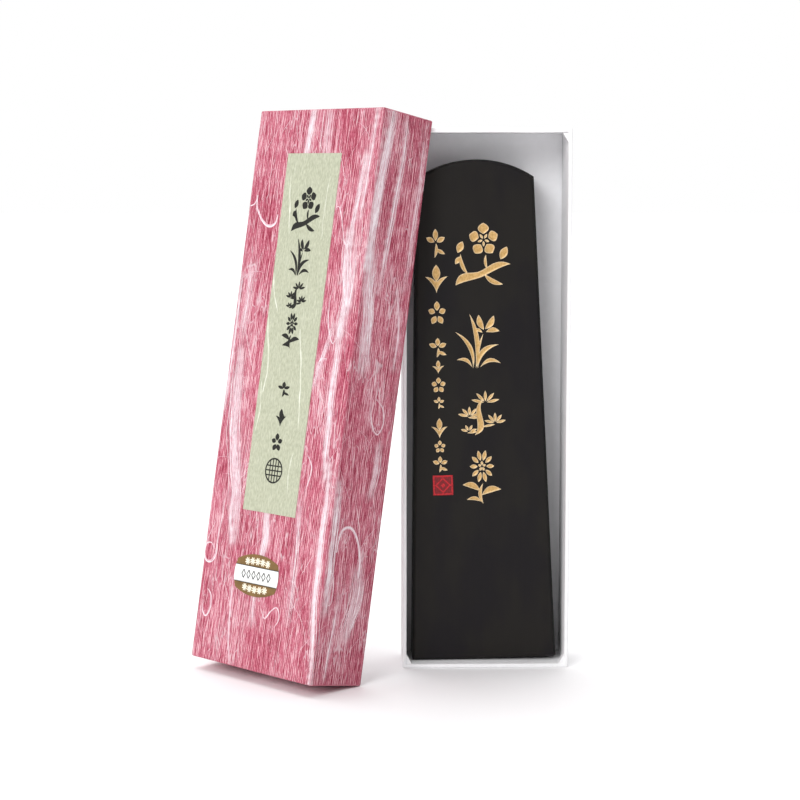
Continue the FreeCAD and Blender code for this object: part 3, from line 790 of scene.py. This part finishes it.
def label_sheet():
    """The label as a sheet with hand-cut edges, following the lid's panel."""
    low, high = span(LID, "title_label")
    columns, rows = 24, 100
    shape = bmesh.new()
    layers = []
    for y in (low.y, high.y):
        layer = []
        for row in range(rows + 1):
            line = []
            for column in range(columns + 1):
                x = low.x + (high.x - low.x) * column / columns
                z = low.z + (high.z - low.z) * row / rows
                x += LABEL_UNEVEN * noise.noise(Vector((0, z / 3, column / columns)))
                z += LABEL_UNEVEN * noise.noise(Vector((x / 3, 0, row / rows)))
                line.append(shape.verts.new(lid_point(Vector((x, y, z)))))
            layer.append(line)
        layers.append(layer)
    front, rear = layers
    for row in range(rows):
        for column in range(columns):
            for layer in layers:
                shape.faces.new((layer[row][column], layer[row][column + 1],
                                 layer[row + 1][column + 1], layer[row + 1][column]))

    def edge_of(layer):
        return (layer[0][:-1] + [line[-1] for line in layer[:-1]] + layer[-1][:0:-1]
                + [line[0] for line in layer[:0:-1]])

    join_rings(shape, edge_of(front), edge_of(rear))
    return facing_out(shape), low, high


label_shape, label_low, label_high = label_sheet()
piece("title_label_sheet", label_shape, LID, LABEL_PAPER, "lid", ["title_label"])

PRINT_FILM = 0.02       # thickness of the print
PRINT_SWELL = 0.1       # how far the printed ornaments are bolder than the engraved ones
# ornament, middle x, middle z, width, height
PRINTED = (
    ("gold_plum", -0.2, 117.5, 10.3, 11.5),
    ("gold_orchid", -0.6, 105.2, 8.0, 9.6),
    ("gold_pine", -0.1, 95.5, 7.8, 7.2),
    ("gold_chrysanthemum", -0.4, 86.4, 6.8, 9.1),
    ("gold_sprig_01", -0.3, 71.4, 4.4, 3.9),
    ("gold_sprig_02", 0.0, 64.2, 3.8, 4.5),
    ("gold_sprig_03", -0.3, 58.0, 3.9, 4.4),
)


def on_label(point):
    """A flat point (x, height, z) brought onto the label's face."""
    return lid_point(Vector((point.x, label_low.y - point.y, point.z)))


def printed_marks():
    """Black versions of the engraved ornaments, thinned to a film of print."""
    for number, (source, x, z, width, height) in enumerate(PRINTED):
        shape = bmesh.new()
        add_ornament(shape, source, x, z, width, height, on_label)
        piece("printed_mark_%d" % (number + 1), facing_out(shape), LID, PRINT, "lid")


def add_bar(shape, x, z, half_length, half_width, turn, place, height):
    """A thin flat bar centred on a point, turned from the x axis."""
    along = Vector((math.cos(turn), 0, math.sin(turn)))
    across = Vector((-along.z, 0, along.x))
    corners = [Vector((x, 0, z)) + along * i * half_length + across * j * half_width
               for i, j in ((-1, -1), (1, -1), (1, 1), (-1, 1))]
    rings = [[shape.verts.new(place(corner + Vector((0, level, 0)))) for corner in corners]
             for level in (0, height)]
    join_rings(shape, *rings)
    shape.faces.new(rings[0])
    shape.faces.new(reversed(rings[1]))


# places along the bark fibres that show in the label, and their width
LABEL_FIBRES = (
    (((-7.7, 126), (-7.4, 122), (-6.6, 116), (-5.8, 111)), 0.3),
    (((-9.6, 101), (-8.4, 95), (-6.4, 91)), 0.26),
    (((-9.5, 90), (-8.8, 84), (-7.7, 79.5), (-7.4, 75), (-8.0, 70)), 0.42),
    (((-9.0, 73), (-8.4, 67), (-9.0, 60)), 0.24),
    (((3.0, 87), (4.0, 82), (5.2, 76), (6.2, 69), (6.8, 62)), 0.36),
    (((7.0, 126), (6.2, 118), (6.6, 110)), 0.14),
    (((6.4, 56), (5.4, 50), (6.0, 45)), 0.16),
)


def label_fibres():
    """A few long pale fibres laid into the label."""
    shape = bmesh.new()
    lift = (label_high.y - label_low.y) + 0.004
    for places, width in LABEL_FIBRES:
        for number in range(3):
            aside = Vector((0.16 * (number - 1), 0))
            run = [place + aside * noise.noise(Vector((index / 6, number, 0))) * 3
                   for index, place in enumerate(smooth_run(places, FIBRE_STEP))]
            add_fibre(shape, run, width * (1 - 0.3 * number), lift)
    piece("title_label_fibres", facing_out(shape), LID, BARK_LABEL, "lid")


def round_mark():
    """A plain round mark: a ring round a lattice of bars."""
    x, z, radius, line = -0.1, 50.7, 3.25, 0.42
    shape = bmesh.new()
    count = 48
    turns = [math.tau * i / count for i in range(count)]
    rings = [[shape.verts.new(on_label(Vector((x + reach * math.cos(turn), level,
                                               z + reach * math.sin(turn))))) for turn in turns]
             for level in (0, PRINT_FILM) for reach in (radius - line, radius)]
    for first, second in ((0, 1), (1, 3), (3, 2), (2, 0)):
        join_rings(shape, rings[first], rings[second])

    def bar(aside, up, turn, height):
        reach = math.sqrt((radius - line / 2) ** 2 - (aside + up) ** 2)
        add_bar(shape, x + aside, z + up, reach, line * 0.4, turn, on_label, height)

    for offset in (-1.5, -0.5, 0.5, 1.5):
        bar(offset, 0, math.pi / 2, PRINT_FILM * 0.9)
    for offset in (-1.2, 0.0, 1.2):
        bar(0, offset, 0.0, PRINT_FILM * 0.8)
    piece("printed_round_mark", facing_out(shape), LID, PRINT, "lid")


def add_ornament(shape, source, x, z, width, height, place):
    """A bolder flat copy of an engraved ornament, brought onto a surface as a film of print."""
    copy = cad_copy(source, WORLD)
    outward = [Vector((vertex.normal.x, 0, vertex.normal.z)).normalized() for vertex in copy.verts]
    for vertex, side in zip(copy.verts, outward):
        vertex.co += side * PRINT_SWELL
    low, high = corners_of([vertex.co for vertex in copy.verts])
    for vertex in copy.verts:
        share = [(vertex.co[axis] - low[axis]) / (high[axis] - low[axis]) for axis in range(3)]
        vertex.co = place(Vector((x + (share[0] - 0.5) * width, (1 - share[1]) * PRINT_FILM,
                                  z + (share[2] - 0.5) * height)))
    mesh = bpy.data.meshes.new("ornament")
    copy.to_mesh(mesh)
    copy.free()
    shape.from_mesh(mesh)
    bpy.data.meshes.remove(mesh)


PATTERN_PITCH = 1.9     # from one rosette or lozenge to the next


def sticker_pieces():
    """The barrel sticker and its white band, with rosettes, lozenges and rules printed on them."""
    for name, material, slot in (("sticker", FOIL, "sticker_foil"),
                                 ("sticker_band", STICKER_WHITE, "sticker_white")):
        shape = cad_copy(name, LID)
        cut_in_grid(shape, 1.0)
        for vertex in shape.verts:
            vertex.co = lid_point(vertex.co)
        piece(name + "_film", shape, LID, material, "lid", [name])
    low, high = span(LID, "sticker")
    band_low, band_high = span(LID, "sticker_band")
    middle = (low + high) / 2

    def on_face(level):
        return lambda point: lid_point(Vector((point.x, level - point.y, point.z)))

    rosettes, rules = bmesh.new(), bmesh.new()
    for side in (-1, 1):
        for number in range(5):
            x = middle.x + (number - 2) * PATTERN_PITCH
            z = middle.z + side * ((high.z - low.z) * 0.335 - 0.06 * (number - 2) ** 2)
            for petal in range(4):
                add_bar(rosettes, x, z, 0.95, 0.17, math.radians(45 * petal + 22),
                        on_face(low.y), PRINT_FILM * (1 - 0.1 * petal))
        edge = middle.z + side * (band_high.z - band_low.z) / 2
        add_bar(rules, middle.x, edge, (band_high.x - band_low.x) / 2 - 0.15, 0.08, 0.0,
                on_face(band_low.y), PRINT_FILM)
    for number in range(6):
        x = middle.x + (number - 2.5) * PATTERN_PITCH
        for across, up, turn in ((-1, 1, 58), (1, -1, 58), (-1, -1, -58), (1, 1, -58)):
            add_bar(rules, x + across * 0.34, middle.z + up * 0.54, 0.64, 0.13,
                    math.radians(turn), on_face(band_low.y),
                    PRINT_FILM * (0.8 if turn > 0 else 1.0))
    piece("sticker_rosettes", facing_out(rosettes), LID, CREAM_PRINT, "lid")
    piece("sticker_rules", facing_out(rules), LID, PRINT, "lid")


label_fibres()
printed_marks()
round_mark()
sticker_pieces()


# ------------------------------------------------------------
# Ink cake and its painted engraving

def gap_to_line(point, start, end):
    """Distance from a point to a segment."""
    along = end - start
    share = max(0, min(1, (point - start).dot(along) / max(along.length_squared, 1e-12)))
    return (point - start - along * share).length


DISH_DEPTH, DISH_EDGE, DISH_STEP = 0.3, 0.3, 0.22
PAINT_UNEVEN, PAINT_CELL = 0.2, 1.1


def painted_recess(name, material, depth):
    """The fill of one engraved mark: its middle lies deeper than its edge by the given depth."""
    shape = cad_copy(name, WORLD)
    cut_in_grid(shape, DISH_STEP)
    faces = front_faces(shape)
    segments = [[vertex.co.copy() for vertex in edge.verts] for face in faces
                for edge in face.edges
                if any(other.normal.y > -0.99 for other in edge.link_faces)]
    # rim: how near each point lies to the mark's edge; the gold finish uses it to paint a highlight
    # there.
    rim = shape.verts.layers.float.new("rim")
    for vertex in {vertex for face in faces for vertex in face.verts}:
        gap = min(gap_to_line(vertex.co, start, end) for start, end in segments)
        share = min(gap / DISH_EDGE, 1)
        sink = share * share * (3 - 2 * share)
        uneven = PAINT_UNEVEN * noise.noise(vertex.co / PAINT_CELL) * sink
        vertex[rim] = 1 - sink
        vertex.co.y += depth * (sink + uneven)
    piece(name + "_paint", shape, WORLD, material, "ink_stick", [name], sharp=60.0)


def seal_ground_shade():
    """A darker red film between the lines of the seal: painted shade standing for its recessed
    ground, which is the same red as the lines.
    """
    low, high = span(WORLD, "red_seal")
    middle = (low + high) / 2
    inset, buried, film = 0.2, 0.05, 0.08
    step, uneven, cell = 0.4, 0.012, 0.7
    shape = bmesh.new()
    add_bar(shape, middle.x, middle.z, (high.x - low.x) / 2 - inset,
            (high.z - low.z) / 2 - inset, 0.0,
            lambda point: Vector((point.x, low.y + buried - point.y, point.z)), film)
    cut_in_grid(facing_out(shape), step)
    for vertex in {vertex for face in front_faces(shape) for vertex in face.verts}:
        vertex.co.y += uneven * noise.noise(vertex.co / cell)
    piece("red_seal_painted_shade", shape, WORLD, RED_SEAL_SHADE, "ink_stick")


def cake_piece():
    """The moulded stick, with the edges of its chamfers and foot softened."""
    shape = cad_copy("ink_cake", WORLD)
    low, high = span(WORLD, "ink_cake")
    softness = 0.16
    soft = []
    for edge in shape.edges:
        if len(edge.link_faces) != 2:
            continue
        angle = math.degrees(edge.calc_face_angle(0))
        across = abs(edge.verts[0].co.y - edge.verts[1].co.y)
        if 20 < angle < 70 or (angle >= 70 and across > (high.y - low.y) / 2):
            soft.append(edge)
    bmesh.ops.bevel(shape, geom=soft, offset=softness, segments=3, profile=0.5,
                    affect="EDGES")
    made = piece("ink_cake_body", shape, WORLD, INK, "ink_stick", ["ink_cake"], sharp=32.0)
    for face in made.data.polygons:
        face.use_smooth = abs(face.normal.y) < 0.999


cake_piece()
for name in sorted(nodes):
    if name.startswith("gold_"):
        painted_recess(name, GOLD, DISH_DEPTH)
painted_recess("red_seal", RED, -0.06)
seal_ground_shade()


# ------------------------------------------------------------
# CAD nodes that stay, with their finish

KEPT = {"board": GREY_BOARD, "liner": LINER_PAPER, "corner_fold": WHITE_PAPER}
for name, node in nodes.items():
    for part, material in KEPT.items():
        if part in name:
            node.data.materials[0] = material


# ------------------------------------------------------------
# Floor, light and camera

def floor():
    """A pale seamless floor."""
    reach = 6.0
    mesh = bpy.data.meshes.new("floor")
    mesh.from_pydata([(-reach, -reach, 0), (reach, -reach, 0), (reach, reach, 0),
                      (-reach, reach, 0)], [], [(0, 1, 2, 3)])
    made = bpy.data.objects.new("floor", mesh)
    bpy.context.scene.collection.objects.link(made)
    finish = Finish("floor_white")
    soft = finish.noise((60, 60, 60), 2.0, 0.5)
    colour = finish.mix(soft, srgb(251, 250, 251), srgb(253, 252, 253))
    rough = finish.range(soft, 0.3, 0.7, 0.5, 0.6)
    mesh.materials.append(finish.use(colour, rough, Specular_IOR_Level=0.2))


def far_light(name, towards, spread, strength):
    """A large soft light far away in a direction; its spread is in degrees."""
    light = bpy.data.lights.new(name, "SUN")
    light.angle = math.radians(spread)
    light.energy = strength
    made = bpy.data.objects.new(name, light)
    bpy.context.scene.collection.objects.link(made)
    made.rotation_mode = "QUATERNION"
    made.rotation_quaternion = (-Vector(towards)).to_track_quat("-Z", "Y")


def studio_world():
    """White all round for the camera; as light, brighter from the back, left and above."""
    world = bpy.data.worlds.new("studio")
    bpy.context.scene.world = world
    world.use_nodes = True
    tree = world.node_tree
    background = tree.nodes["Background"]
    coordinates = tree.nodes.new("ShaderNodeTexCoord")
    towards = tree.nodes.new("ShaderNodeVectorMath")
    towards.operation = "DOT_PRODUCT"
    towards.inputs[1].default_value = (-0.4, 0.75, 0.58)
    ramp = tree.nodes.new("ShaderNodeMapRange")
    ramp.inputs["From Min"].default_value = -1.0
    ramp.inputs["From Max"].default_value = 0.6
    ramp.inputs["To Min"].default_value = 0.06
    ramp.inputs["To Max"].default_value = 0.78
    path = tree.nodes.new("ShaderNodeLightPath")
    choose = tree.nodes.new("ShaderNodeMix")
    choose.inputs[3].default_value = 1.0
    tree.links.new(coordinates.outputs["Generated"], towards.inputs[0])
    tree.links.new(towards.outputs["Value"], ramp.inputs["Value"])
    tree.links.new(path.outputs["Is Camera Ray"], choose.inputs[0])
    tree.links.new(ramp.outputs[0], choose.inputs[2])
    tree.links.new(choose.outputs[0], background.inputs["Strength"])
    background.inputs["Color"].default_value = (1, 1, 1, 1)


def camera():
    """The main point of view, in metres and degrees."""
    data = bpy.data.cameras.new("camera")
    data.lens = 92.0
    data.sensor_width = 36.0
    data.clip_start, data.clip_end = 0.05, 50
    made = bpy.data.objects.new("camera", data)
    bpy.context.scene.collection.objects.link(made)
    made.location = (-0.03526, -0.5281, 0.1277)
    made.rotation_euler = [math.radians(angle) for angle in (83.68, 0, -1.44)]
    bpy.context.scene.camera = made


floor()
studio_world()
far_light("key", towards=(-0.46, -0.8, 0.5), spread=30, strength=1.6)
far_light("top", towards=(-0.1, 0.3, 1.0), spread=60, strength=1.5)
camera()
bpy.context.scene.view_settings.view_transform = "Standard"
